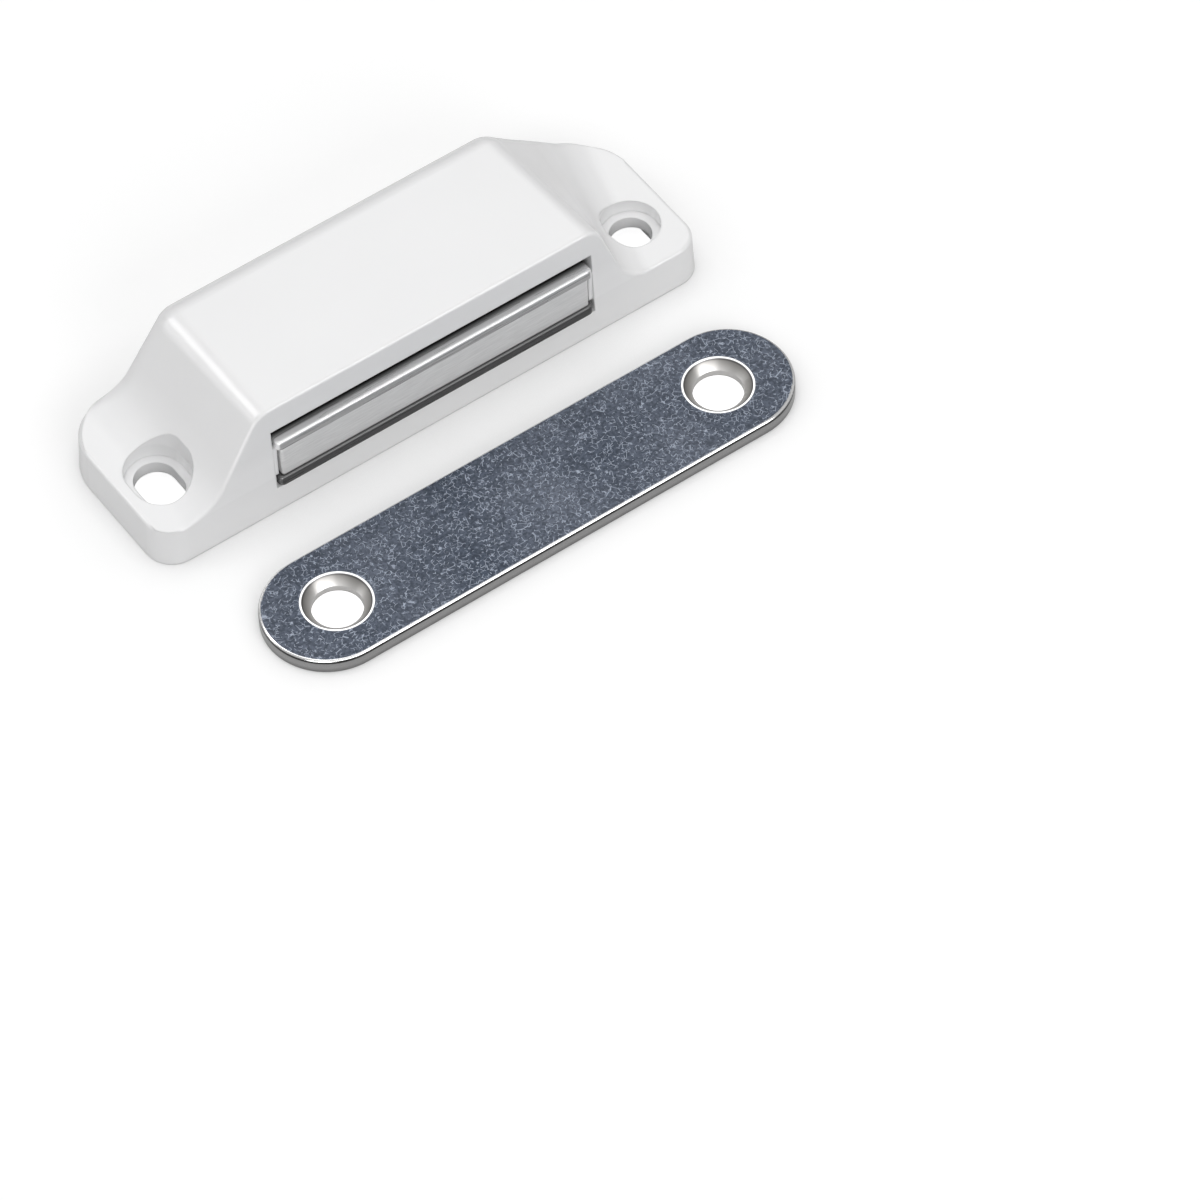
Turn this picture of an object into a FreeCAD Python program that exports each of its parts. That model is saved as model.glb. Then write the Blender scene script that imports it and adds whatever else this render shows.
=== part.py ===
import FreeCAD, Part
import math
import os
import Sketcher

# Magnetic catch: a moulded housing with a floating magnet pack, and its strike plate.
# Lengths are millimetres. +Z is up, the origin is the middle of the housing's base,
# the pole plates face -Y and the long side of the housing lies along X.

doc = FreeCAD.newDocument("magnetic_catch")
V = FreeCAD.Vector

SIZES = [
    ("housing_length", 68.4, "housing, end to end at the base"),
    ("housing_depth", 20.6, "housing, front to back at the base"),
    ("housing_height", 15.0, "base to flat top"),
    ("draft_angle", 2.9, "lean of the upright moulded faces, degrees"),
    ("flange_thickness", 4.9, "screw flange at both ends"),
    ("front_corner_radius", 3.2, "front corners seen from above"),
    ("back_corner_radius", 6.6, "back corners seen from above"),
    ("corner_step", 1.0, "how much rounder the raised part is at those back corners"),
    ("front_edge_radius", 0.4, "small rounding of the outer edges"),
    ("ridge_reach", 13.0, "housing end to ridge at the front, before rounding"),
    ("ridge_skew", 1.9, "how much further in the right ridge is at the back"),
    ("left_run", 6.75, "how far the left ramp spreads from ridge to flange"),
    ("right_front_run", 2.5, "the same at the front of the right ramp, which is steeper"),
    ("right_back_run", 11.6, "the same at its back"),
    ("ridge_radius", 2.2, "rounding between top and ramps at the front"),
    ("ridge_back_radius", 3.3, "the same at the back"),
    ("left_foot", 6.0, "hollow rounding between left ramp and flange"),
    ("right_front_foot", 4.0, "the same at the front of the right ramp"),
    ("right_back_foot", 7.0, "the same at its back"),
    ("back_edge_radius", 3.0, "rounding along the back of the top"),
    ("back_foot_radius", 1.4, "what that rounding fades to at the ramp feet"),
    ("flange_back_radius", 1.5, "rounding of the flange's back edge"),
    ("front_wall", 2.1, "housing wall behind the front face"),
    ("back_wall", 2.5, "housing wall at the back"),
    ("roof", 2.4, "housing wall over the cavity"),
    ("plate_thickness", 1.1, "pole plate sheet"),
    ("mouth_side", 1.55, "ridge at the front to the pole plate end"),
    ("plate_depth", 12.0, "pole plate, front edge to rear edge"),
    ("plate_shoulder", 0.65, "step in each plate end that stops behind the front wall"),
    ("plate_corner_radius", 0.6, "pole plate corners seen from above"),
    ("plate_edge_radius", 0.35, "rounding of the pole plate's front edge on top"),
    ("magnet_height", 4.5, "magnet between the two pole plates"),
    ("magnet_inset", 0.45, "pole plate end to magnet end"),
    ("magnet_depth", 10.4, "magnet, front to back"),
    ("magnet_setback", 0.2, "magnet face behind the pole faces"),
    ("magnet_edge_radius", 0.35, "rounding around the magnet face"),
    ("pack_height", 3.6, "underside of the lower pole plate above the base"),
    ("pole_reach", 0.15, "pole faces beyond the foot of the front face"),
    ("end_clearance", 0.3, "play between plate ends and mouth or cavity ends"),
    ("mouth_below", 0.3, "play under the lower pole plate"),
    ("mouth_above", 1.4, "play over the upper pole plate"),
    ("stop_gap", 0.05, "gap between plate shoulders and front wall at rest"),
    ("float_travel", 0.6, "how far the magnet pack can be pushed in"),
    ("rail_gap", 0.25, "play between rails, magnet and lower plate"),
    ("rail_setback", 0.5, "rail ends behind the foot of the front face"),
    ("rib_thickness", 1.6, "stop ribs behind the magnet pack"),
    ("rib_spacing", 22.0, "between the middles of the stop ribs"),
    ("recess_depth", 1.75, "hollow under both screw flanges"),
    ("recess_wall", 2.2, "wall of that hollow at the cavity and at the housing ends"),
    ("recess_side", 3.6, "wall of that hollow at the front and the back"),
    ("screw_hole", 4.6, "through hole for a 3.5 mm wood screw"),
    ("screw_head", 6.5, "counterbore for the screw head"),
    ("screw_head_depth", 1.6, "counterbore below the flange top"),
    ("slot_hole_end", 4.8, "slotted hole, from the left end"),
    ("slot_hole_y", 2.55, "slotted hole, in front of the middle"),
    ("slot_travel", 1.6, "straight part of the slotted hole"),
    ("round_hole_end", 5.1, "round hole, from the right end"),
    ("round_hole_y", 3.75, "round hole, in front of the middle"),
    ("strike_length", 64.2, "strike plate, end to end"),
    ("strike_width", 14.2, "strike plate, front to back"),
    ("strike_thickness", 1.7, "strike plate sheet"),
    ("strike_spacing", 47.8, "between the strike plate holes"),
    ("strike_hole", 5.4, "strike plate through hole"),
    ("strike_sink", 7.3, "strike plate countersink at the surface"),
    ("strike_edge_radius", 0.35, "rounding of the strike plate's outer edges"),
    ("strike_x", 1.2, "strike plate laid in front of the housing, along X"),
    ("strike_y", 24.8, "strike plate laid in front of the housing, towards -Y"),
]

sheet = doc.addObject("Spreadsheet::Sheet", "Sizes")
for row, (alias, value, note) in enumerate(SIZES, start=1):
    sheet.set("A%d" % row, note)
    sheet.set("B%d" % row, str(value))
    sheet.setAlias("B%d" % row, alias)
doc.recompute()


def size(alias):
    return float(sheet.get(alias))


def bind(obj, prop, formula):
    """Ties a property to the sheet; names in braces become cells of the sheet."""
    obj.setExpression(prop, formula.replace("{", "Sizes.").replace("}", ""))


def rule(sketch, *constraint, formula=None, name=None):
    """Adds a constraint and, when a formula is given, ties its value to the sheet."""
    index = sketch.addConstraint(Sketcher.Constraint(*constraint))
    if formula:
        sketch.renameConstraint(index, name)
        bind(sketch, "Constraints." + name, formula)
    return index


def place(sketch, plane):
    """Turns a free sketch into the plane it is drawn in."""
    turn = {"XZ": FreeCAD.Rotation(V(1, 0, 0), 90), "YZ": FreeCAD.Rotation(V(1, 1, 1), 120)}
    if plane in turn:
        sketch.Placement = FreeCAD.Placement(V(0, 0, 0), turn[plane])


def evaluate(formula):
    """The present value of a formula in braces, for a sketch's first guess."""
    return float(sheet.evalExpression(formula.replace("{", "").replace("}", "")))


# The outline of the raised part seen from the front, drawn once for the front end and
# once for the back end of a ruled loft. Only the right ramp differs between the two, so it twists.
RIDGE = "({housing_length}/2 - {ridge_reach})"

def hump_profile(name, end, ridge_cell, right_ridge, y_formula):
    """The outline at one end: "front" or "back" picks the right ramp's sizes."""
    ridges = {"right": right_ridge, "left": RIDGE}
    high = size("housing_height")
    low = size("flange_thickness")
    ridge = size(ridge_cell)
    spill = 2.5
    sides = {"right": (size("right_%s_run" % end), size("right_%s_foot" % end)),
             "left": (size("left_run"), size("left_foot"))}
    points = {}
    for side, (run, foot) in sides.items():
        half = evaluate(ridges[side])
        slope = math.atan2(high - low, run)
        cut = foot * math.tan(slope / 2)
        trim = ridge * math.tan(slope / 2)
        points[side] = {
            "slope": slope,
            "end": half + run + cut + spill,
            "flat": (half + run + cut, low),
            "foot_centre": (half + run + cut, low + foot),
            "foot": (half + run - cut * math.cos(slope), low + cut * math.sin(slope)),
            "ridge": (half + trim * math.cos(slope), high - trim * math.sin(slope)),
            "ridge_centre": (half - trim, high - ridge),
            "top": (half - trim, high),
        }
    r, l = points["right"], points["left"]

    def at(pair, sign=1):
        return V(sign * pair[0], pair[1], 0)

    def arc(centre, radius, start, end):
        circle = Part.Circle(centre, V(0, 0, 1), radius)
        return Part.ArcOfCircle(circle, start, end)

    quarter = math.pi / 2
    sketch = doc.addObject("Sketcher::SketchObject", name)
    place(sketch, "XZ")
    bind(sketch, "Placement.Base.y", y_formula)
    # 0 bottom, 1 right end, 2 right flat, 3 right foot, 4 right ramp, 5 right ridge,
    # 6 top, 7 left ridge, 8 left ramp, 9 left foot, 10 left flat, 11 left end
    sketch.addGeometry([
        Part.LineSegment(V(-l["end"], 0, 0), V(r["end"], 0, 0)),
        Part.LineSegment(V(r["end"], 0, 0), V(r["end"], low, 0)),
        Part.LineSegment(V(r["end"], low, 0), at(r["flat"])),
        arc(at(r["foot_centre"]), sides["right"][1], 3 * quarter - r["slope"], 3 * quarter),
        Part.LineSegment(at(r["foot"]), at(r["ridge"])),
        arc(at(r["ridge_centre"]), ridge, quarter - r["slope"], quarter),
        Part.LineSegment(at(r["top"]), at(l["top"], -1)),
        arc(at(l["ridge_centre"], -1), ridge, quarter, quarter + l["slope"]),
        Part.LineSegment(at(l["ridge"], -1), at(l["foot"], -1)),
        arc(at(l["foot_centre"], -1), sides["left"][1], 3 * quarter, 3 * quarter + l["slope"]),
        Part.LineSegment(at(l["flat"], -1), V(-l["end"], low, 0)),
        Part.LineSegment(V(-l["end"], low, 0), V(-l["end"], 0, 0)),
    ], False)
    for first, second in ((0, 1), (1, 2), (10, 11), (11, 0)):
        rule(sketch, "Coincident", first, 2, second, 1)
    for joint in ((2, 2, 3, 2), (3, 1, 4, 1), (4, 2, 5, 1), (5, 2, 6, 1),
                  (6, 2, 7, 1), (7, 2, 8, 1), (8, 2, 9, 2), (9, 1, 10, 1)):
        rule(sketch, "Tangent", *joint)
    for line in (0, 2, 10):
        rule(sketch, "Horizontal", line)
    for line in (1, 11):
        rule(sketch, "Vertical", line)
    rule(sketch, "PointOnObject", 0, 1, -1)
    rule(sketch, "Radius", 3, sides["right"][1], formula="{right_%s_foot}" % end, name="foot_right")
    rule(sketch, "Radius", 9, sides["left"][1], formula="{left_foot}", name="foot_left")
    rule(sketch, "Radius", 5, ridge, formula="{%s}" % ridge_cell, name="ridge_right")
    rule(sketch, "Radius", 7, ridge, formula="{%s}" % ridge_cell, name="ridge_left")
    corners = [("foot_right", 1, low, right_ridge + " + {right_%s_run}" % end, (2, 4)),
               ("ridge_right", 1, high, right_ridge, (4, 6)),
               ("ridge_left", -1, high, RIDGE, (6, 8)),
               ("foot_left", -1, low, RIDGE + " + {left_run}", (8, 10))]
    for label, sign, z, across, lines in corners:
        x = sign * evaluate(across)
        point = sketch.addGeometry(Part.Point(V(x, z, 0)), True)
        ends = (-1, 1, point, 1) if x > 0 else (point, 1, -1, 1)
        rule(sketch, "DistanceX", *ends, abs(x), formula=across, name="corner_x_" + label)
        upward = "{housing_height}" if z == high else "{flange_thickness}"
        rule(sketch, "DistanceY", -1, 1, point, 1, z, formula=upward, name="corner_z_" + label)
        for line in lines:
            rule(sketch, "PointOnObject", point, 1, line)
    rule(sketch, "DistanceX", 3, 2, 1, 1, spill)
    rule(sketch, "DistanceX", 11, 1, 9, 1, spill)
    return sketch


front_profile = hump_profile("FrontProfile", "front", "ridge_radius", RIDGE, "-{housing_depth}/2 - 1")
back_profile = hump_profile("BackProfile", "back", "ridge_back_radius", RIDGE + " - {ridge_skew}",
                            "{housing_depth}/2 + 1")

hump_loft = doc.addObject("Part::Loft", "HumpLoft")
hump_loft.Sections = [front_profile, back_profile]
hump_loft.Solid = True
hump_loft.Ruled = True


def polygon(name, plane, corners, owner=None):
    """A closed sketch of straight lines; each corner is a pair of formulas for its two positions."""
    if owner:
        sketch = owner.newObject("Sketcher::SketchObject", name)
        role = {"XY": "XY_Plane", "XZ": "XZ_Plane", "YZ": "YZ_Plane"}[plane]
        origin_plane = [f for f in owner.Origin.OriginFeatures if f.Role == role][0]
        sketch.AttachmentSupport = [(origin_plane, "")]
        sketch.MapMode = "FlatFace"
    else:
        sketch = doc.addObject("Sketcher::SketchObject", name)
        place(sketch, plane)
    places = [(evaluate(u), evaluate(v)) for u, v in corners]
    for i, (u, v) in enumerate(places):
        nxt = places[(i + 1) % len(places)]
        sketch.addGeometry(Part.LineSegment(V(u, v, 0), V(nxt[0], nxt[1], 0)), False)
    for i in range(len(places)):
        rule(sketch, "Coincident", i, 2, (i + 1) % len(places), 1)
    for i, (pair, formulas) in enumerate(zip(places, corners)):
        for kind, value, formula in zip(("DistanceX", "DistanceY"), pair, formulas):
            if formula == "0":
                rule(sketch, "PointOnObject", i, 1, -2 if kind == "DistanceX" else -1)
                continue
            ends = (-1, 1, i, 1) if value > 0 else (i, 1, -1, 1)
            signed = formula if value > 0 else "-(%s)" % formula
            rule(sketch, kind, *ends, abs(value), formula=signed, name="%s_%d" % (kind, i))
    return sketch


# Seen from above the housing is a rounded rectangle that leans in by the draft angle on all sides.

def rounded_rectangle(name, inset, z, rounder):
    """The outline seen from above, drawn in by inset, at height z, its back corners rounder by that much."""
    half_x = evaluate("{housing_length}/2 - (%s)" % inset)
    half_y = evaluate("{housing_depth}/2 - (%s)" % inset)
    front = evaluate("{front_corner_radius} - (%s)" % inset)
    back = evaluate("{back_corner_radius} + %s - (%s)" % (rounder, inset))
    quarter = math.pi / 2
    up = V(0, 0, 1)
    sketch = doc.addObject("Sketcher::SketchObject", name)
    bind(sketch, "Placement.Base.z", z)

    def corner(x, y, radius, start):
        return Part.ArcOfCircle(Part.Circle(V(x, y, 0), up, radius), start * quarter, (start + 1) * quarter)

    sketch.addGeometry([
        Part.LineSegment(V(front - half_x, -half_y, 0), V(half_x - front, -half_y, 0)),
        corner(half_x - front, front - half_y, front, -1),
        Part.LineSegment(V(half_x, front - half_y, 0), V(half_x, half_y - back, 0)),
        corner(half_x - back, half_y - back, back, 0),
        Part.LineSegment(V(half_x - back, half_y, 0), V(back - half_x, half_y, 0)),
        corner(back - half_x, half_y - back, back, 1),
        Part.LineSegment(V(-half_x, half_y - back, 0), V(-half_x, front - half_y, 0)),
        corner(front - half_x, front - half_y, front, 2),
    ], False)
    for i in range(8):
        rule(sketch, "Tangent", i, 2, (i + 1) % 8, 1)
    for line in (0, 4):
        rule(sketch, "Horizontal", line)
    for line in (2, 6):
        rule(sketch, "Vertical", line)
    rule(sketch, "Equal", 1, 7)
    rule(sketch, "Equal", 3, 5)
    rule(sketch, "Radius", 1, front, formula="{front_corner_radius} - (%s)" % inset, name="front_corner")
    rule(sketch, "Radius", 3, back, formula="{back_corner_radius} + %s - (%s)" % (rounder, inset),
         name="back_corner")
    along = "{housing_length}/2 - (%s)" % inset
    across = "{housing_depth}/2 - (%s)" % inset
    rule(sketch, "DistanceX", -1, 1, 2, 1, half_x, formula=along, name="right")
    rule(sketch, "DistanceX", 6, 1, -1, 1, half_x, formula=along, name="left")
    rule(sketch, "DistanceY", -1, 1, 4, 1, half_y, formula=across, name="back")
    rule(sketch, "DistanceY", 0, 1, -1, 1, half_y, formula=across, name="front")
    return sketch


def leaning_block(name, height, rounder):
    """The drafted block from the base up to a height formula."""
    block = doc.addObject("Part::Loft", name)
    block.Sections = [
        rounded_rectangle(name + "Foot", "0", "0", rounder),
        rounded_rectangle(name + "Top", "(%s)*tan({draft_angle})" % height, height, rounder),
    ]
    block.Solid = True
    block.Ruled = True
    return block


# Front and back faces lean inwards by the draft angle, which this section cuts off the loft.
side_section = polygon("SideSection", "YZ", [
    ("-{housing_depth}/2", "0"),
    ("{housing_depth}/2", "0"),
    ("{housing_depth}/2 - {housing_height}*tan({draft_angle})", "{housing_height}"),
    ("-{housing_depth}/2 + {housing_height}*tan({draft_angle})", "{housing_height}"),
])
side_prism = doc.addObject("Part::Extrusion", "SidePrism")
side_prism.Base = side_section
side_prism.DirMode = "Normal"
side_prism.Solid = True
side_prism.Symmetric = True
bind(side_prism, "LengthFwd", "{housing_length} + 10")
hump_raw = doc.addObject("Part::Common", "HumpRaw")
hump_raw.Base = hump_loft
hump_raw.Tool = side_prism
doc.recompute()


def outward(face):
    """The outward direction at the middle of a face."""
    u0, u1, v0, v1 = face.ParameterRange
    return face.normalAt((u0 + u1) / 2, (v0 + v1) / 2)


def edges_on(shape, faces, lowest):
    """Numbers and edges of these faces that lie wholly at or above a height."""
    found = []
    for number, edge in enumerate(shape.Edges, start=1):
        if min(v.Z for v in edge.Vertexes) < lowest - 0.01:
            continue
        if any(edge.isSame(other) for face in faces for other in face.Edges):
            found.append((number, edge))
    return found


def rounding(name, base, edges):
    """A fillet feature; each edge comes with its radius at both of its ends."""
    fillet = doc.addObject("Part::Fillet", name)
    fillet.Base = base
    fillet.Edges = edges
    return fillet


# The back rounding is full along the top and fades to a small one down both ramps.
top_level = size("housing_height")
flange_level = size("flange_thickness")
back_faces = [f for f in hump_raw.Shape.Faces if outward(f).y > 0.9]
back_edges = []
full, faded = size("back_edge_radius"), size("back_foot_radius")
for number, edge in edges_on(hump_raw.Shape, back_faces, flange_level):
    heights = [v.Z for v in edge.Vertexes]
    if min(heights) > top_level - size("ridge_back_radius"):
        back_edges.append((number, full, full))
    elif min(heights) < flange_level + 0.05:
        back_edges.append((number, faded, faded))
    else:
        starts_high = edge.valueAt(edge.FirstParameter).z > edge.valueAt(edge.LastParameter).z
        back_edges.append((number, full, faded) if starts_high else (number, faded, full))
hump_back = rounding("HumpBackRounded", hump_raw, back_edges)
doc.recompute()

front_faces = [f for f in hump_back.Shape.Faces if outward(f).y < -0.9]
edge_radius = size("front_edge_radius")
hump_round = rounding("HumpRounded", hump_back, [
    (number, edge_radius, edge_radius) for number, edge in edges_on(hump_back.Shape, front_faces, flange_level)
])

# The rounded hump is cut to the outline seen from above.
leaning = leaning_block("Leaning", "{housing_height} + 1", "{corner_step}")
hump = doc.addObject("Part::Common", "Hump")
hump.Base = hump_round
hump.Tool = leaning
doc.recompute()

# The flange plate under the hump.
flange_raw = leaning_block("FlangeRaw", "{flange_thickness}", "0")
doc.recompute()
top_faces = [f for f in flange_raw.Shape.Faces if outward(f).z > 0.99]
back_radius = size("flange_back_radius")
flange_edges = []
for number, edge in edges_on(flange_raw.Shape, top_faces, flange_level):
    ends = [edge.valueAt(edge.FirstParameter), edge.valueAt(edge.LastParameter)]
    at_back = [point.y > size("housing_depth") / 2 - 1 for point in ends]
    flange_edges.append((number, *(back_radius if back else edge_radius for back in at_back)))
flange = rounding("Flange", flange_raw, flange_edges)
doc.recompute()


def box(name, *formulas):
    """A box from formulas for its three low corners and its three lengths."""
    block = doc.addObject("Part::Box", name)
    for prop, formula in zip(("Placement.Base.x", "Placement.Base.y", "Placement.Base.z"), formulas[:3]):
        bind(block, prop, formula)
    for prop, formula in zip(("Length", "Width", "Height"), formulas[3:]):
        bind(block, prop, formula)
    return block


def rod(name, x, y, z, diameter, height):
    """An upright cylinder from formulas for its foot, its diameter and its height."""
    cylinder = doc.addObject("Part::Cylinder", name)
    bind(cylinder, "Placement.Base.x", x)
    bind(cylinder, "Placement.Base.y", y)
    bind(cylinder, "Placement.Base.z", z)
    bind(cylinder, "Radius", "(%s)/2" % diameter)
    bind(cylinder, "Height", height)
    return cylinder


def slot(name, x, y, z, diameter, straight, height):
    """An upright slot along Y: two cylinders and the box between them."""
    parts = [
        rod(name + "Front", x, "%s - (%s)/2" % (y, straight), z, diameter, height),
        rod(name + "Back", x, "%s + (%s)/2" % (y, straight), z, diameter, height),
        box(name + "Middle", "%s - (%s)/2" % (x, diameter), "%s - (%s)/2" % (y, straight), z,
            diameter, straight, height),
    ]
    return join(name, parts)


def join(name, parts):
    fused = doc.addObject("Part::MultiFuse", name)
    fused.Shapes = parts
    fused.Refine = True
    return fused


shell = join("Shell", [flange, hump])

# Levels and places that several pieces share.
PLATE_TOP = "({pack_height} + {plate_thickness})"
RAIL_TOP = "({pack_height} + {plate_thickness} + {magnet_height})"
PACK_TOP = "({pack_height} + 2*{plate_thickness} + {magnet_height})"
FRONT = "(-{housing_depth}/2)"
POLE_FRONT = "(-{housing_depth}/2 - {pole_reach})"
WALL_INSIDE = "(-{housing_depth}/2 + {front_wall})"
SHOULDER = "(-{housing_depth}/2 + {front_wall} + {stop_gap})"
PACK_BACK = "(-{housing_depth}/2 - {pole_reach} + {plate_depth})"
PLATE_HALF = "(" + RIDGE + " - {mouth_side})"
MAGNET_HALF = "(" + RIDGE + " - {mouth_side} - {magnet_inset})"
CAVITY_HALF = "(" + PLATE_HALF + " + {plate_shoulder} + {end_clearance})"
MOUTH_HALF = "(" + PLATE_HALF + " + {end_clearance})"
RAIL_HALF = "(" + MAGNET_HALF + " + {rail_gap})"

cavity = box("Cavity", "-" + CAVITY_HALF, WALL_INSIDE, "-1", "2*" + CAVITY_HALF,
             "{housing_depth} - {front_wall} - {back_wall}", "{housing_height} - {roof} + 1")
mouth = box("Mouth", "-" + MOUTH_HALF, FRONT + " - 1", "{pack_height} - {mouth_below}", "2*" + MOUTH_HALF,
            "{front_wall} + 2", "2*{plate_thickness} + {magnet_height} + {mouth_below} + {mouth_above}")
SLOT_X = "({slot_hole_end} - {housing_length}/2)"
ROUND_X = "({housing_length}/2 - {round_hole_end})"
slot_hole = slot("SlottedHole", SLOT_X, "-{slot_hole_y}", "-1", "{screw_hole}", "{slot_travel}",
                 "{flange_thickness} + 2")
slot_head = slot("SlottedHead", SLOT_X, "-{slot_hole_y}", "{flange_thickness} - {screw_head_depth}",
                 "{screw_head}", "{slot_travel}", "{housing_height}")
round_hole = rod("RoundHole", ROUND_X, "-{round_hole_y}", "-1", "{screw_hole}", "{flange_thickness} + 2")
round_head = rod("RoundHead", ROUND_X, "-{round_hole_y}", "{flange_thickness} - {screw_head_depth}",
                 "{screw_head}", "{housing_height}")
recess_length = "{housing_length}/2 - 2*{recess_wall} - " + CAVITY_HALF
recess_width = "{housing_depth} - 2*{recess_side}"
recesses = [
    box("RecessLeft", "{recess_wall} - {housing_length}/2", "{recess_side} - {housing_depth}/2", "-1",
        recess_length, recess_width, "{recess_depth} + 1"),
    box("RecessRight", CAVITY_HALF + " + {recess_wall}", "{recess_side} - {housing_depth}/2", "-1",
        recess_length, recess_width, "{recess_depth} + 1"),
]
openings = join("Openings", [cavity, mouth, slot_hole, slot_head, round_hole, round_head] + recesses)
hollow = doc.addObject("Part::Cut", "Hollow")
hollow.Base = shell
hollow.Tool = openings

# Two rails carry the upper pole plate and keep the magnet between them; two ribs stop the pack.
rail_height = RAIL_TOP + " - " + PLATE_TOP + " - {rail_gap}"
rail_length = PACK_BACK + " - " + FRONT + " - {rail_setback}"
rail_width = CAVITY_HALF + " - " + RAIL_HALF + " + 0.5"
rails = [
    box("RailLeft", "-" + CAVITY_HALF + " - 0.5", FRONT + " + {rail_setback}", PLATE_TOP + " + {rail_gap}",
        rail_width, rail_length, rail_height),
    box("RailRight", RAIL_HALF, FRONT + " + {rail_setback}", PLATE_TOP + " + {rail_gap}",
        rail_width, rail_length, rail_height),
]
rib_start = PACK_BACK + " + {float_travel} + 0.05"
rib_length = "{housing_depth}/2 - {back_wall} + 0.5 - (%s)" % rib_start
rib_height = "{housing_height} - {roof} + 0.5 - ({pack_height})"
ribs = [
    box("Rib" + side, "%s{rib_spacing}/2 - {rib_thickness}/2" % sign, rib_start, "{pack_height}",
        "{rib_thickness}", rib_length, rib_height)
    for side, sign in (("Left", "-"), ("Right", ""))
]
housing = join("housing", [hollow] + rails + ribs)
doc.recompute()


def body(label):
    made = doc.addObject("PartDesign::Body", label)
    made.Label = label
    return made


def pad(owner, name, sketch, formula):
    feature = owner.newObject("PartDesign::Pad", name)
    feature.Profile = sketch
    bind(feature, "Length", formula)
    return feature


def soften(owner, name, base, chosen, cell):
    """A fillet on the chosen edges of a body's last feature."""
    feature = owner.newObject("PartDesign::Fillet", name)
    feature.Base = (base, ["Edge%d" % n for n in chosen])
    bind(feature, "Radius", "{%s}" % cell)
    doc.recompute()
    return feature


def pole_plate(label, level):
    """A flat plate whose rear is wider than the mouth, so that it stops behind the front wall."""
    plate = body(label)
    wide = "(" + PLATE_HALF + " + {plate_shoulder})"
    narrow = PLATE_HALF
    outline = polygon(label + "_outline", "XY", [
        ("-" + narrow, POLE_FRONT), (narrow, POLE_FRONT), (narrow, SHOULDER), (wide, SHOULDER),
        (wide, PACK_BACK), ("-" + wide, PACK_BACK), ("-" + wide, SHOULDER), ("-" + narrow, SHOULDER),
    ], plate)
    sheet_metal = pad(plate, label + "_sheet", outline, "{plate_thickness}")
    bind(plate, "Placement.Base.z", level)
    doc.recompute()
    upright = []
    for number, edge in enumerate(sheet_metal.Shape.Edges, start=1):
        a, b = edge.Vertexes[0].Point, edge.Vertexes[-1].Point
        if abs(a.z - b.z) > 0.1 and abs(a.x) > plate_half - 0.01 and a.y < shoulder_y - 0.1:
            upright.append(number)
    corners = soften(plate, label + "_corners", sheet_metal, upright, "plate_corner_radius")
    front = []
    for number, edge in enumerate(corners.Shape.Edges, start=1):
        box_y = [v.Y for v in edge.Vertexes]
        flat = abs(edge.Vertexes[0].Z - edge.Vertexes[-1].Z) < 0.01
        on_top = edge.Vertexes[0].Z > 0.01
        if flat and on_top and max(box_y) < pole_front_y + 0.01:
            front.append(number)
    soften(plate, label + "_front", corners, front, "plate_edge_radius")
    return plate


plate_half = evaluate(PLATE_HALF)
pole_front_y = evaluate(POLE_FRONT)
shoulder_y = evaluate(SHOULDER)
lower_plate = pole_plate("lower_pole_plate", "{pack_height}")
upper_plate = pole_plate("upper_pole_plate", RAIL_TOP)

magnet = body("magnet")
magnet_front = POLE_FRONT + " + {magnet_setback}"
magnet_back = magnet_front + " + {magnet_depth}"
magnet_outline = polygon("magnet_outline", "XY", [
    ("-" + MAGNET_HALF, magnet_front), (MAGNET_HALF, magnet_front),
    (MAGNET_HALF, magnet_back), ("-" + MAGNET_HALF, magnet_back),
], magnet)
magnet_block = pad(magnet, "magnet_block", magnet_outline, "{magnet_height}")
bind(magnet, "Placement.Base.z", PLATE_TOP)
doc.recompute()
magnet_face = evaluate(magnet_front)
rim = [number for number, edge in enumerate(magnet_block.Shape.Edges, start=1)
       if max(v.Y for v in edge.Vertexes) < magnet_face + 0.01]
soften(magnet, "magnet_rim", magnet_block, rim, "magnet_edge_radius")

strike = body("strike_plate")
strike_outline = strike.newObject("Sketcher::SketchObject", "strike_outline")
strike_ground = [f for f in strike.Origin.OriginFeatures if f.Role == "XY_Plane"][0]
strike_outline.AttachmentSupport = [(strike_ground, "")]
strike_outline.MapMode = "FlatFace"
strike_r = size("strike_width") / 2
strike_c = size("strike_length") / 2 - strike_r
strike_outline.addGeometry([
    Part.LineSegment(V(-strike_c, -strike_r, 0), V(strike_c, -strike_r, 0)),
    Part.ArcOfCircle(Part.Circle(V(strike_c, 0, 0), V(0, 0, 1), strike_r), -math.pi / 2, math.pi / 2),
    Part.LineSegment(V(strike_c, strike_r, 0), V(-strike_c, strike_r, 0)),
    Part.ArcOfCircle(Part.Circle(V(-strike_c, 0, 0), V(0, 0, 1), strike_r), math.pi / 2, 1.5 * math.pi),
], False)
for i in range(4):
    rule(strike_outline, "Tangent", i, 2, (i + 1) % 4, 1)
rule(strike_outline, "Horizontal", 0)
rule(strike_outline, "PointOnObject", 1, 3, -1)
rule(strike_outline, "Symmetric", 1, 3, 3, 3, -1, 1)
rule(strike_outline, "Radius", 1, strike_r, formula="{strike_width}/2", name="end_radius")
rule(strike_outline, "DistanceX", 3, 3, 1, 3, 2 * strike_c, formula="{strike_length} - {strike_width}",
     name="centres")
strike_sheet = pad(strike, "strike_sheet", strike_outline, "{strike_thickness}")
doc.recompute()
strike_top = size("strike_thickness")
outer = [number for number, edge in enumerate(strike_sheet.Shape.Edges, start=1)
         if min(v.Z for v in edge.Vertexes) > strike_top - 0.01]
strike_soft = soften(strike, "strike_soft", strike_sheet, outer, "strike_edge_radius")
strike_places = strike.newObject("Sketcher::SketchObject", "strike_hole_places")
strike_places.AttachmentSupport = strike_outline.AttachmentSupport
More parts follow.
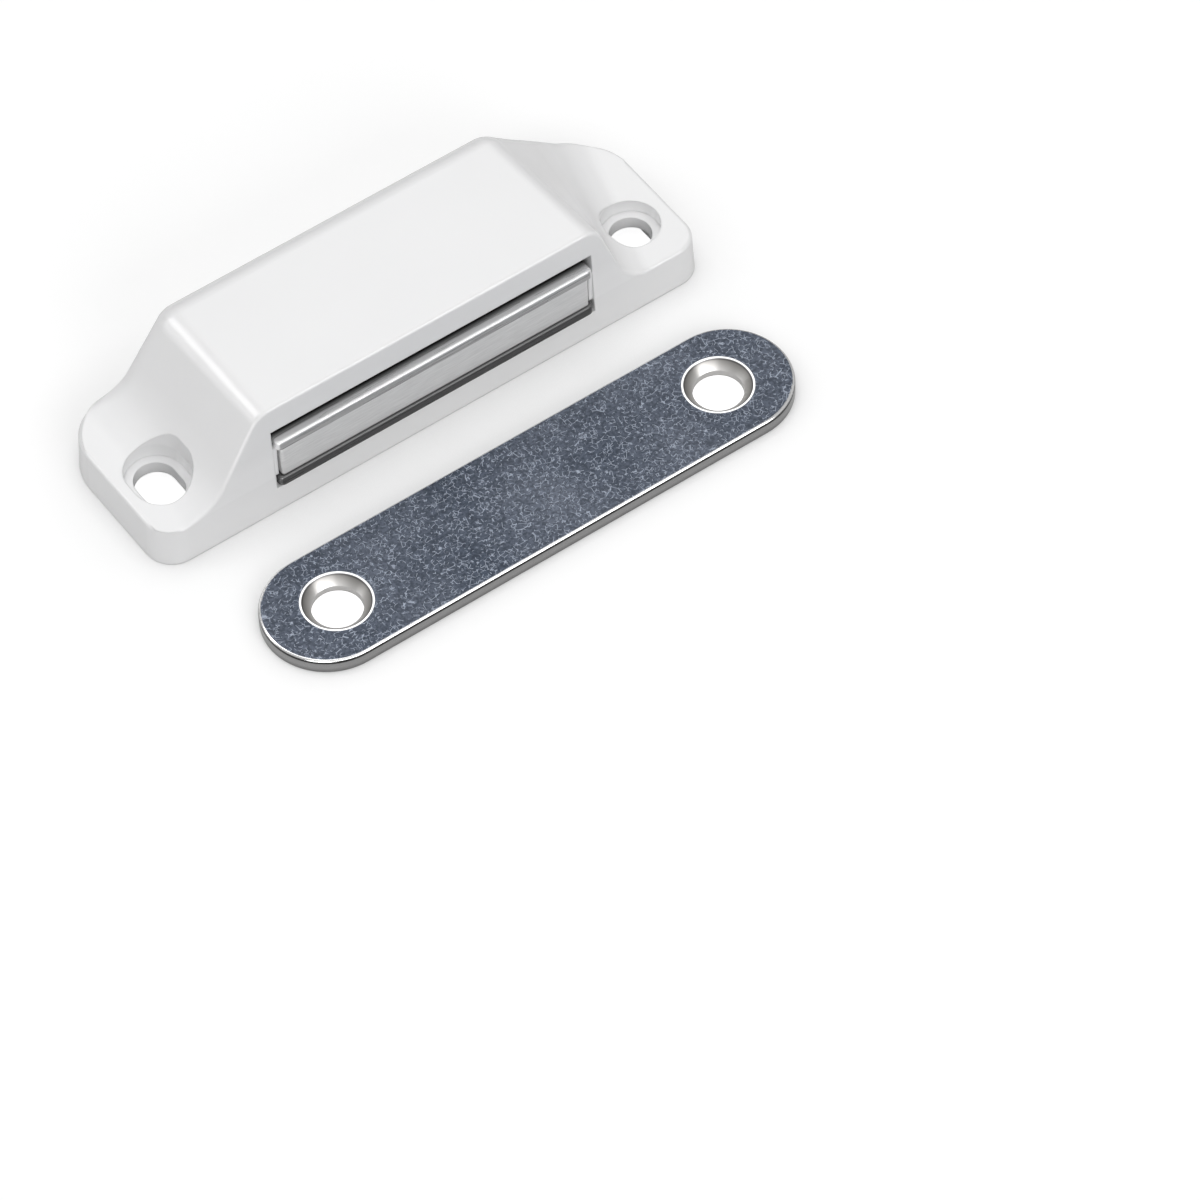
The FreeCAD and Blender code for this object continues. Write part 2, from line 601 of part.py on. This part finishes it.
strike_places.MapMode = "FlatFace"
bind(strike_places, "AttachmentOffset.Base.z", "{strike_thickness}")
for i, sign in enumerate((-1, 1)):
    strike_places.addGeometry(Part.Circle(V(sign * size("strike_spacing") / 2, 0, 0), V(0, 0, 1), 2.7), False)
rule(strike_places, "PointOnObject", 0, 3, -1)
rule(strike_places, "Equal", 0, 1)
rule(strike_places, "Radius", 0, 2.7, formula="{strike_hole}/2", name="hole_radius")
rule(strike_places, "Symmetric", 0, 3, 1, 3, -1, 1)
rule(strike_places, "DistanceX", 0, 3, 1, 3, size("strike_spacing"), formula="{strike_spacing}", name="spacing")
doc.recompute()
holes = strike.newObject("PartDesign::Hole", "strike_holes")
holes.Profile = strike_places
doc.recompute()
holes.DepthType = "ThroughAll"
bind(holes, "Diameter", "{strike_hole}")
holes.HoleCutType = "Countersink"
holes.HoleCutCustomValues = True
bind(holes, "HoleCutDiameter", "{strike_sink}")
holes.HoleCutCountersinkAngle = 90
bind(strike, "Placement.Base.x", "{strike_x}")
bind(strike, "Placement.Base.y", "-{strike_y}")
doc.recompute()

NODES = [("housing", housing), ("upper_pole_plate", upper_plate), ("lower_pole_plate", lower_plate),
         ("magnet", magnet), ("strike_plate", strike)]
for obj in doc.Objects:
    if "Invalid" in obj.State or "Error" in obj.State:
        raise RuntimeError("%s did not build: %s" % (obj.Name, obj.State))
os.makedirs("parts", exist_ok=True)
for node, obj in NODES:
    shape = obj.Shape
    if not shape.isValid() or len(shape.Solids) != 1:
        raise RuntimeError("%s is not one valid solid" % node)
    shape.exportStep("parts/%s.step" % node)
    b = shape.optimalBoundingBox()
    print("%-18s %9.1f mm3  x %.2f..%.2f  y %.2f..%.2f  z %.2f..%.2f" % (
        node, shape.Volume, b.XMin, b.XMax, b.YMin, b.YMax, b.ZMin, b.ZMax))
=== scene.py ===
# %% [markdown]
# # A magnetic catch, dressed in Blender
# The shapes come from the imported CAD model, which is the frame for everything here. This lesson gives
# each piece the finish it has on the real catch: soft white moulding, a ground magnet bar, bright
# pole plates and a mottled zinc strike plate. Lengths are metres, +Z is up.

# %% Load the frame
import math
import bpy
from mathutils import Matrix, Vector

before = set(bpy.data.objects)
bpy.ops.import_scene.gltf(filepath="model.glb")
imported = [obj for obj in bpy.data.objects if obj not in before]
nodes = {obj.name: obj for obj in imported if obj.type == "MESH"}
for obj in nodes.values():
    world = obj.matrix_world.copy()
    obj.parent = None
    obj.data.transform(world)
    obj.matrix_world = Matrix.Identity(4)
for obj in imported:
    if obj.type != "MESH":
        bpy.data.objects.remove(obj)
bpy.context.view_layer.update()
print("nodes:", sorted(nodes))
MM = 0.001

# %% [markdown]
# The camera stands far away with a long lens, as a product photographer's does, so that parallel
# edges stay nearly parallel. Its place is written as a direction round the catch, a small roll and a
# distance, which is easier to read than a matrix.

# %% Camera
AZIMUTH, ELEVATION, ROLL = (math.radians(v) for v in (-34.029, 51.840, -2.0))
FOCUS_DISTANCE = 730.1 * MM
AIM_RIGHT, AIM_UP = -22.56 * MM, 25.15 * MM
SENSOR_WIDTH, LENS = 36, 210            # Blender counts these two in millimetres
NEAREST_SEEN, FARTHEST_SEEN = 0.01, 20

back = Vector((math.sin(AZIMUTH) * math.cos(ELEVATION), -math.cos(AZIMUTH) * math.cos(ELEVATION),
               math.sin(ELEVATION)))
right = Vector((math.cos(AZIMUTH), math.sin(AZIMUTH), 0))
up = back.cross(right)
view_right = right * math.cos(ROLL) + up * math.sin(ROLL)
view_up = up * math.cos(ROLL) - right * math.sin(ROLL)
place = view_right * -AIM_RIGHT + view_up * -AIM_UP + back * FOCUS_DISTANCE

camera_data = bpy.data.cameras.new("camera")
camera_data.sensor_width = SENSOR_WIDTH
camera_data.lens = LENS
camera_data.clip_start = NEAREST_SEEN
camera_data.clip_end = FARTHEST_SEEN
camera = bpy.data.objects.new("camera", camera_data)
bpy.context.collection.objects.link(camera)
turn = Matrix((view_right, view_up, back)).transposed()
camera.matrix_world = Matrix.Translation(place) @ turn.to_4x4()
bpy.context.scene.camera = camera
print("camera at", [round(v / MM, 1) for v in place], "mm")

# %% [markdown]
# Every finish is a tree of shader nodes. Three small helpers write one: the first gives an input its
# value or its link, the second does that for several inputs by name, and the third adds a node.

# %% Helpers that write nodes
def give(tree, socket, value):
    """Gives one input a plain value, or the output of another node."""
    if isinstance(value, bpy.types.NodeSocket):
        tree.links.new(value, socket)
    else:
        socket.default_value = value


def feed(tree, node, **inputs):
    """Gives a node's inputs, by name, their values; an underscore stands for a space."""
    for name, value in inputs.items():
        give(tree, node.inputs[name.replace("_", " ")], value)


def add(tree, kind, **values):
    """A new node; values with a leading capital are its inputs, the others its settings."""
    node = tree.nodes.new(kind)
    for name, value in values.items():
        if name[0].isupper():
            feed(tree, node, **{name: value})
        else:
            setattr(node, name, value)
    return node

# %% [markdown]
# The next helpers start a material and put it on a piece. The coordinates are Object ones, because
# they stay with a piece when it moves.

# %% Helpers that start and place a finish
def finish(name):
    """A new material: itself, its tree, its Principled shader and its Object coordinates."""
    material = bpy.data.materials.new(name)
    material.use_nodes = True
    tree = material.node_tree
    coords = add(tree, "ShaderNodeTexCoord").outputs["Object"]
    return material, tree, tree.nodes["Principled BSDF"], coords


def dress(node, material):
    """Puts the material on every slot of a CAD node."""
    thing = nodes[node]
    thing.data.materials.clear()
    thing.data.materials.append(material)
    print(node, "wears", material.name)

# %% [markdown]
# Most patterns are a noise that a ramp turns into greys or colours. Two of them are then multiplied or
# mixed. These helpers give back the output that the next node needs.

# %% Helpers for patterns
MIX_SOCKETS = {"FLOAT": (2, 3, 0), "RGBA": (6, 7, 2)}       # first input, second input, output


def noise(tree, where, **values):
    """A cloudy value between 0 and 1."""
    return add(tree, "ShaderNodeTexNoise", Vector=where, **values).outputs["Fac"]


def ramp(tree, value, stops):
    """Turns a value into greys or colours by (position, grey or colour) pairs."""
    node = add(tree, "ShaderNodeValToRGB", Fac=value)
    band = node.color_ramp
    while len(band.elements) < len(stops):
        band.elements.new(0.5)
    for element, (position, colour) in zip(band.elements, stops):
        element.position = position
        rgb = (colour,) * 3 if isinstance(colour, (int, float)) else colour
        element.color = (*rgb, 1)
    return node.outputs["Color"]


def calculate(tree, operation, *terms):
    """The result of a Math node."""
    node = add(tree, "ShaderNodeMath", operation=operation)
    for socket, term in zip(node.inputs, terms):
        give(tree, socket, term)
    return node.outputs[0]


def mix(tree, kind, share, first, second, **settings):
    """Goes from the first value or colour to the second as the share goes from 0 to 1."""
    node = add(tree, "ShaderNodeMix", data_type=kind, **settings)
    first_socket, second_socket, result = MIX_SOCKETS[kind]
    for number, value in ((0, share), (first_socket, first), (second_socket, second)):
        give(tree, node.inputs[number], value)
    return node.outputs[result]


def multiply(tree, first, second, **settings):
    """The product of two colours."""
    return mix(tree, "RGBA", 1.0, first, second, blend_type="MULTIPLY", **settings)

# %% [markdown]
# Several finishes change with the place on a piece: the foot of the housing, the foot of the magnet,
# the rear of the pole plates and the side of the strike plate. All need the same thing, how far a
# point lies between two marks along a direction, so that is a node group, built once.

# %% Shared group: the way between two marks
def new_group(name, vectors, numbers, result):
    """A group with named inputs and one named output, and the two nodes at its ends."""
    group = bpy.data.node_groups.new(name, "ShaderNodeTree")
    for socket in vectors:
        group.interface.new_socket(socket, in_out="INPUT", socket_type="NodeSocketVector")
    for socket in numbers:
        group.interface.new_socket(socket, in_out="INPUT", socket_type="NodeSocketFloat")
    group.interface.new_socket(result, in_out="OUTPUT", socket_type="NodeSocketFloat")
    return group, group.nodes.new("NodeGroupInput").outputs, group.nodes.new("NodeGroupOutput").inputs


def use(tree, group, **inputs):
    """Places a group in a material with its own values, and gives back its output."""
    node = tree.nodes.new("ShaderNodeGroup")
    node.node_tree = group
    feed(tree, node, **inputs)
    return node.outputs[0]


way_between, given, out = new_group("way_between", ("Vector", "Direction"), ("Start", "End"), "Share")
reached = add(way_between, "ShaderNodeVectorMath", operation="DOT_PRODUCT")
give(way_between, reached.inputs[0], given["Vector"])
give(way_between, reached.inputs[1], given["Direction"])
spread = add(way_between, "ShaderNodeMapRange", Value=reached.outputs["Value"], From_Min=given["Start"],
             From_Max=given["End"])
give(way_between, out["Share"], spread.outputs[0])
INWARDS, UPWARDS = (0, 1, 0), (0, 0, 1)
print(way_between.name, "has", len(way_between.nodes), "nodes")

# %% [markdown]
# A moulded skin is never quite even. Its fine unevenness is a group too, so that another moulded piece
# could use it with its own values; here only the housing does. It puts out a height between 0 and 1,
# which a Bump node turns into a slightly tilted surface.

# %% Group: fine unevenness
unevenness, given, out = new_group("unevenness", ("Vector",), ("Grain Size", "Wave Size", "Wave Share"),
                                   "Height")
grain = noise(unevenness, given["Vector"], Scale=given["Grain Size"], Detail=3.0, Roughness=0.6)
wave = noise(unevenness, given["Vector"], Scale=given["Wave Size"], Detail=1.0, Roughness=0.4)
give(unevenness, out["Height"], mix(unevenness, "FLOAT", given["Wave Share"], grain, wave))


def bump(tree, shader, height, strength, depth):
    """A Bump node from a height to the shader's Normal."""
    node = add(tree, "ShaderNodeBump", Strength=strength, Distance=depth, Height=height)
    feed(tree, shader, Normal=node.outputs["Normal"])
    return node

# %% [markdown]
# The housing is injection moulded in white plastic. A slightly rough base under a clear coat gives the
# soft gloss, and the coat draws thin bright lines along the rounded edges. In a band low on the
# housing, at the foot of the ramps, the coat fades out, because the real one looks matt there. That
# band is painted by height. The sharp edges are softened in the shading by a Bevel node.

# %% White moulded plastic
GLOSS_SPAN = 20 * MM
BAND = (0.245, 0.262, 0.38, 0.48)                           # shares of the span: in, full, full, out
COAT_SHINY, COAT_MATT = 0.8, 0.0
ROUGH_SHINY, ROUGH_MATT = 0.36, 0.6
WHITES = (0.86, 0.86, 0.865), (0.885, 0.885, 0.888)
EDGE_SOFTENING = 0.25 * MM

white, tree, shader, coords = finish("white_moulding")
height = use(tree, way_between, Vector=coords, Direction=UPWARDS, Start=0, End=GLOSS_SPAN)


def in_band(shiny, matt):
    """A value of the shiny skin that changes to the matt one in the band."""
    return ramp(tree, height, list(zip(BAND, (shiny, matt, matt, shiny))))


cloud = noise(tree, coords, Scale=45.0, Detail=3.0)
feed(tree, shader, Base_Color=ramp(tree, cloud, [(0.3, WHITES[0]), (0.7, WHITES[1])]),
     Roughness=in_band(ROUGH_SHINY, ROUGH_MATT), Coat_Weight=in_band(COAT_SHINY, COAT_MATT),
     Coat_Roughness=0.2)
skin = use(tree, unevenness, Vector=coords, Grain_Size=3500.0, Wave_Size=160.0, Wave_Share=0.5)
skin_bump = bump(tree, shader, skin, strength=0.05, depth=0.2 * MM)
soft_rim = add(tree, "ShaderNodeBevel", samples=2, Radius=EDGE_SOFTENING)
feed(tree, skin_bump, Normal=soft_rim.outputs["Normal"])
dress("housing", white)

# %% [markdown]
# The magnet bar is ground flat. Grinding leaves short, fine lines that run at a slant across its face,
# so the coordinates are turned and stretched before they reach the noise. A dark line at its foot,
# painted shade where it meets the lower plate, is painted by height.

# %% Ground magnet
MAGNET_FOOT, MAGNET_TOP = 4.7 * MM, 9.2 * MM
GRINDING_SLANT = math.radians(32)

bar, tree, shader, coords = finish("ground_magnet")
slant = add(tree, "ShaderNodeMapping", Vector=coords, Rotation=(0, GRINDING_SLANT, 0),
            Scale=(420, 900, 5200))
lines = noise(tree, slant.outputs["Vector"], Scale=1.0, Detail=4.0, Roughness=0.65)
grey = ramp(tree, lines, [(0.25, 0.72), (0.5, 0.80), (0.75, 0.89)])
rise = use(tree, way_between, Vector=coords, Direction=UPWARDS, Start=MAGNET_FOOT, End=MAGNET_TOP)
# Painted shade: a dark line at the magnet's foot, where it meets the lower plate.
painted_foot_shade = ramp(tree, rise, [(0.0, 0.02), (0.04, 0.05), (0.09, 0.8), (0.3, 0.93), (1.0, 1.0)])
feed(tree, shader, Metallic=0.35, Base_Color=multiply(tree, grey, painted_foot_shade),
     Roughness=ramp(tree, lines, [(0.2, 0.55), (0.8, 0.42)]))
bump(tree, shader, lines, strength=0.12, depth=0.1 * MM)
dress("magnet", bar)

# %% [markdown]
# The pole plates are cut from bright steel sheet. Only their rounded front edges and a strip of their
# top show. Just behind the front edge the strip is painted brighter, a painted highlight, and towards the
# rear of the mouth it grows dark, a painted shade. The lower plate is darker than the upper one, also
# painted shade. Light alone doesn't make this dark enough here, so all of it is painted by position.

# %% Bright pole plates
PLATE_FRONT, PLATE_REAR = -10.45 * MM, -8.3 * MM
LOWER_PLATE, UPPER_PLATE = 4.8 * MM, 8.0 * MM
STEELS = (0.50, 0.50, 0.505), (0.60, 0.60, 0.605)

poles, tree, shader, coords = finish("polished_pole_steel")
along = add(tree, "ShaderNodeMapping", Vector=coords, Scale=(120, 2500, 2500))
rolling = noise(tree, along.outputs["Vector"], Scale=1.0, Detail=3.0)
steel = ramp(tree, rolling, [(0.3, STEELS[0]), (0.7, STEELS[1])])
deep = use(tree, way_between, Vector=coords, Direction=INWARDS, Start=PLATE_FRONT, End=PLATE_REAR)
# Painted highlight and shade by depth: brighter just behind the front edge, black towards the rear of the
# mouth.
painted_light_and_shade_by_depth = ramp(tree, deep, [(0.0, 0.85), (0.03, 0.85), (0.07, 1.8), (0.17, 1.75), (0.38, 1.6),
                         (0.55, 0.6), (0.72, 0.05), (1.0, 0.0)])
rise = use(tree, way_between, Vector=coords, Direction=UPWARDS, Start=LOWER_PLATE, End=UPPER_PLATE)
# Painted shade: the lower plate is darker than the upper one.
shade = ramp(tree, rise, [(0.0, 0.18), (1.0, 1.0)])
colour = multiply(tree, steel, multiply(tree, painted_light_and_shade_by_depth, shade), clamp_result=True)
feed(tree, shader, Metallic=0.35, Base_Color=colour, Specular_Tint=colour,
     Roughness=ramp(tree, rolling, [(0.3, 0.24), (0.7, 0.34)]))
dress("upper_pole_plate", poles)
dress("lower_pole_plate", poles)

# %% [markdown]
# The strike plate is zinc plated steel. Its flat face is covered with tiny pale crystals. Some are
# curved, which are contour lines of a noise. Others are straight, which are the edges of small cells.
# A second noise breaks both into short strokes.

# %% Strike plate: pale crystals
zinc, tree, shader, coords = finish("mottled_zinc")


def broken_up(lines, scale):
    """Leaves short strokes of some lines, where a noise of that scale is high."""
    gaps = noise(tree, coords, Scale=scale, Detail=0.0)
    return calculate(tree, "MULTIPLY", lines, ramp(tree, gaps, [(0.50, 0.0), (0.56, 1.0)]))


worms = noise(tree, coords, Scale=1350.0, Detail=0.6, Roughness=0.5, Distortion=1.2)
curved = ramp(tree, worms, [(0.467, 0.0), (0.487, 0.8), (0.493, 0.8), (0.513, 0.0)])
cells = add(tree, "ShaderNodeTexVoronoi", feature="DISTANCE_TO_EDGE", Vector=coords, Scale=1700.0)
straight = ramp(tree, cells.outputs["Distance"], [(0.015, 1.0), (0.06, 0.0)])
crystals = calculate(tree, "MAXIMUM", broken_up(curved, 1500.0), broken_up(straight, 2600.0))

# %% [markdown]
# The ground between the crystals is a dark blue-grey, uneven in wide patches and speckled finely.

# %% Strike plate: dark ground
DARK_ZINC, PALE_ZINC = (0.055, 0.067, 0.091), (0.110, 0.124, 0.155)
CRYSTAL_COLOUR = (0.31, 0.345, 0.41, 1)

patches = noise(tree, coords, Scale=70.0, Detail=4.0)
speckle = noise(tree, coords, Scale=3200.0, Detail=1.0)
ground = multiply(tree, ramp(tree, patches, [(0.3, DARK_ZINC), (0.7, PALE_ZINC)]),
                  ramp(tree, speckle, [(0.35, 0.7), (0.65, 1.2)]))
mottled = mix(tree, "RGBA", crystals, ground, CRYSTAL_COLOUR)

# %% [markdown]
# The rounded rim carries a painted highlight. It is found from the surface normal, which stands upright
# only on the flat faces. Going up the side, a grey, a thin black line and then the bright edge are
# painted by height: the black line is a painted dark reflection, the bright edge a painted highlight.

# %% Strike plate: rim with painted highlight
SIDE_SPAN = 2 * MM
RIM_ROUGHNESS, FACE_ROUGHNESS = 0.16, 0.5

facing = add(tree, "ShaderNodeSeparateXYZ", Vector=add(tree, "ShaderNodeNewGeometry").outputs["Normal"])
flat = ramp(tree, calculate(tree, "ABSOLUTE", facing.outputs["Z"]), [(0.93, 0.0), (0.99, 1.0)])
up_the_side = use(tree, way_between, Vector=coords, Direction=UPWARDS, Start=0, End=SIDE_SPAN)
# Painted by height up the side: a grey, a painted dark reflection line, then a painted highlight along the
# edge.
painted_rim_light = ramp(tree, up_the_side, [(0.0, 0.28), (0.3, 0.42), (0.6, 0.38), (0.66, 0.04), (0.74, 0.04),
                               (0.79, 0.95), (1.0, 0.95)])
surface = mix(tree, "RGBA", flat, painted_rim_light, mottled)
surface_roughness = mix(tree, "FLOAT", flat, RIM_ROUGHNESS, FACE_ROUGHNESS)

# %% [markdown]
# Rings round the two countersinks, and on the floor the spots under the screw holes, both need the
# distance from an upright axis. That is the second shared group. Distances are shares of a reach of
# 5 mm, so that a ramp can hold them.

# %% Shared group: distance from an upright axis
AXIS_REACH = 5 * MM
axis_distance, given, out = new_group("axis_distance", ("Vector", "Centre"), ("Reach",), "Share")
level = add(axis_distance, "ShaderNodeVectorMath", operation="MULTIPLY")
give(axis_distance, level.inputs[0], given["Vector"])
give(axis_distance, level.inputs[1], (1, 1, 0))
apart = add(axis_distance, "ShaderNodeVectorMath", operation="DISTANCE")
give(axis_distance, apart.inputs[0], level.outputs[0])
give(axis_distance, apart.inputs[1], given["Centre"])
give(axis_distance, out["Share"],
     calculate(axis_distance, "DIVIDE", apart.outputs["Value"], given["Reach"]))


def near_axes(tree, coords, centres):
    """How far a point is from the nearest of some upright axes, as a share of the reach."""
    nearest = None
    for x, y in centres:
        one = use(tree, axis_distance, Vector=coords, Centre=(x, y, 0), Reach=AXIS_REACH)
        nearest = one if nearest is None else calculate(tree, "MINIMUM", nearest, one)
    return nearest

# %% [markdown]
# The countersinks carry painted reflections. From the hole outwards they go from pale to dark grey and a
# thin black line, and end in a bright ring on the face, a painted highlight. These rings are painted by
# distance.

# %% Strike plate: countersink rings, painted reflections
STRIKE_HOLES = ((-22.7 * MM, -24.8 * MM), (25.1 * MM, -24.8 * MM))
RING_ROUGHNESS = 0.34

around = near_axes(tree, coords, STRIKE_HOLES)
# Painted reflections round each countersink, ending in a painted highlight ring on the face.
painted_ring_reflections = ramp(tree, around, [(0.54, (0.66, 0.65, 0.64)), (0.62, (0.48, 0.47, 0.455)),
                           (0.69, (0.30, 0.29, 0.28)), (0.715, (0.08, 0.08, 0.08)),
                           (0.733, (1.0, 1.0, 1.0))])
outside = ramp(tree, around, [(0.757, 0.0), (0.775, 1.0)])
feed(tree, shader, Metallic=0.9, Base_Color=mix(tree, "RGBA", outside, painted_ring_reflections, surface),
     Roughness=mix(tree, "FLOAT", outside, RING_ROUGHNESS, surface_roughness))
dress("strike_plate", zinc)

# %% [markdown]
# The floor is a plain white table. To the camera a part of its white is a light of its own, so that it
# reads as the bright sweep of a studio and shadows on it stay faint. To every other ray it is an
# ordinary white surface that throws light back up at the catch. It lies a hair below the catch, so that
# no two faces fall together.

# %% Floor
FLOOR_SIZE, FLOOR_DROP = 8, 0.08 * MM
PAINT_FOR_LIGHT, PAINT_SEEN = (0.72, 0.72, 0.72, 1), (0.66, 0.66, 0.66, 1)

bpy.ops.object.select_all(action="DESELECT")
bpy.ops.mesh.primitive_plane_add(size=FLOOR_SIZE, location=(0, 0, -FLOOR_DROP))
floor = bpy.context.object
floor.name = "floor"
table_top, tree, shader, coords = finish("white_table")
rays = add(tree, "ShaderNodeLightPath").outputs
seen = calculate(tree, "MAXIMUM", rays["Is Camera Ray"], rays["Is Transmission Ray"])
paint = mix(tree, "RGBA", seen, PAINT_FOR_LIGHT, PAINT_SEEN)
feed(tree, shader, Base_Color=paint, Roughness=0.9, Specular_IOR_Level=0.1)

# %% [markdown]
# The floor's own light is weaker close to the pieces, a painted shadow that deepens their soft contact
# shadows. Under the screw holes it is stronger, a painted light, because the real floor shows white
# through them. Each spot lies a little behind its hole, where the camera looks through it. The slotted
# hole has two.

# %% Floor: its own light
SPOTS = ((-29.2 * MM, -1.3 * MM), (-27.8 * MM, -1.3 * MM), (30.1 * MM, -2.5 * MM),
         (-22.4 * MM, -24.4 * MM), (25.4 * MM, -24.4 * MM))
SPOT_GLOW, CONTACT_GLOW, OPEN_GLOW = 0.9, 0.19, 0.42
SHADOW_REACH = 10 * MM

# Painted light: the floor's own light is stronger in spots under the screw holes.
past_spot = ramp(tree, near_axes(tree, coords, SPOTS), [(0.6, 0.0), (0.76, 1.0)])
openness = add(tree, "ShaderNodeAmbientOcclusion", samples=4, Distance=SHADOW_REACH).outputs["AO"]
# Painted shadow: the floor's own light is weaker close to the pieces.
contact = ramp(tree, openness, [(0.35, CONTACT_GLOW), (1.0, OPEN_GLOW)])
glow = mix(tree, "FLOAT", past_spot, SPOT_GLOW, contact)
feed(tree, shader, Emission_Color=(1, 1, 1, 1), Emission_Strength=calculate(tree, "MULTIPLY", seen, glow))
floor.data.materials.append(table_top)
print("floor wears", table_top.name)

# %% [markdown]
# The room is pale. Its horizon is dark to mirror-like rays, which gives the bright metal its dark
# lines. The camera sees the room as pure white.

# %% Room
ROOM_GREY, HORIZON_GREY = 0.5, 0.04

world = bpy.context.scene.world or bpy.data.worlds.new("studio")
bpy.context.scene.world = world
world.use_nodes = True
tree = world.node_tree
rays = add(tree, "ShaderNodeLightPath").outputs
where = add(tree, "ShaderNodeSeparateXYZ", Vector=add(tree, "ShaderNodeTexCoord").outputs["Generated"])
half = add(tree, "ShaderNodeMapRange", Value=where.outputs["Z"], From_Min=-1.0).outputs[0]
room = ramp(tree, half, [(0.44, ROOM_GREY), (0.49, HORIZON_GREY), (0.55, HORIZON_GREY),
                         (0.60, ROOM_GREY)])
in_mirrors = mix(tree, "RGBA", rays["Is Glossy Ray"], (ROOM_GREY, ROOM_GREY, ROOM_GREY, 1), room)
seen = calculate(tree, "MAXIMUM", rays["Is Camera Ray"], rays["Is Transmission Ray"])
feed(tree, tree.nodes["Background"], Color=mix(tree, "RGBA", seen, in_mirrors, (1, 1, 1, 1)), Strength=1.0)
print("room is grey", ROOM_GREY, "with a horizon of", HORIZON_GREY)

# %% [markdown]
# Three soft panels light the catch: a wide one overhead, one in front, and a weak one at the back left
# that shows in no reflection. The other five are glints. They show in reflections only, without adding
# to the matt light. The top glint is mirrored by the flat top. Each of the others stands where one
# rounded edge mirrors it to the camera, so it draws the bright line along that edge.

# %% Lamps
def panel(name, direction, distance, width, height, power, lights=True, mirrored=True):
    """A rectangular lamp at a distance from the catch, facing it. It may light only, or show in
    reflections only."""
    data = bpy.data.lights.new(name, "AREA")
    data.shape = "RECTANGLE"
    data.size = width
    data.size_y = height
    data.energy = power
    lamp = bpy.data.objects.new(name, data)
    bpy.context.collection.objects.link(lamp)
    lamp.location = Vector(direction).normalized() * distance
    lamp.rotation_euler = lamp.location.to_track_quat("Z", "Y").to_euler()
    lamp.visible_camera = False
    lamp.visible_diffuse = lights
    lamp.visible_glossy = mirrored
    print(name, "at", [round(v, 2) for v in lamp.location])


#      name, direction, distance, width, height, power
panel("overhead_panel", (0.0, 0.15, 1.0), 1.0, 0.8, 0.8, 3.1)
panel("front_panel", (-0.1, -0.8, 0.48), 0.9, 0.6, 0.35, 2.1)
panel("back_left_panel", (-0.63, 0.51, 0.55), 0.9, 0.3, 0.5, 0.45, mirrored=False)
GLINTS = (("top_glint", (0.35, 0.51, 0.79), 1.0, 0.5, 0.5, 0.9),
          ("ridge_glint", (-0.42, 0.512, 0.76), 0.9, 0.26, 0.5, 1.7),
          ("front_edge_glint", (0.346, -0.786, 0.512), 0.9, 0.3, 0.6, 2.2),
          ("flange_glint", (-0.786, 0.512, 0.345), 0.9, 0.3, 0.25, 0.3),
          ("corner_glint", (-0.72, -0.66, 0.2), 0.9, 0.5, 0.3, 3.4))
for glint in GLINTS:
    panel(*glint, lights=False)

bpy.context.scene.view_settings.view_transform = "Standard"
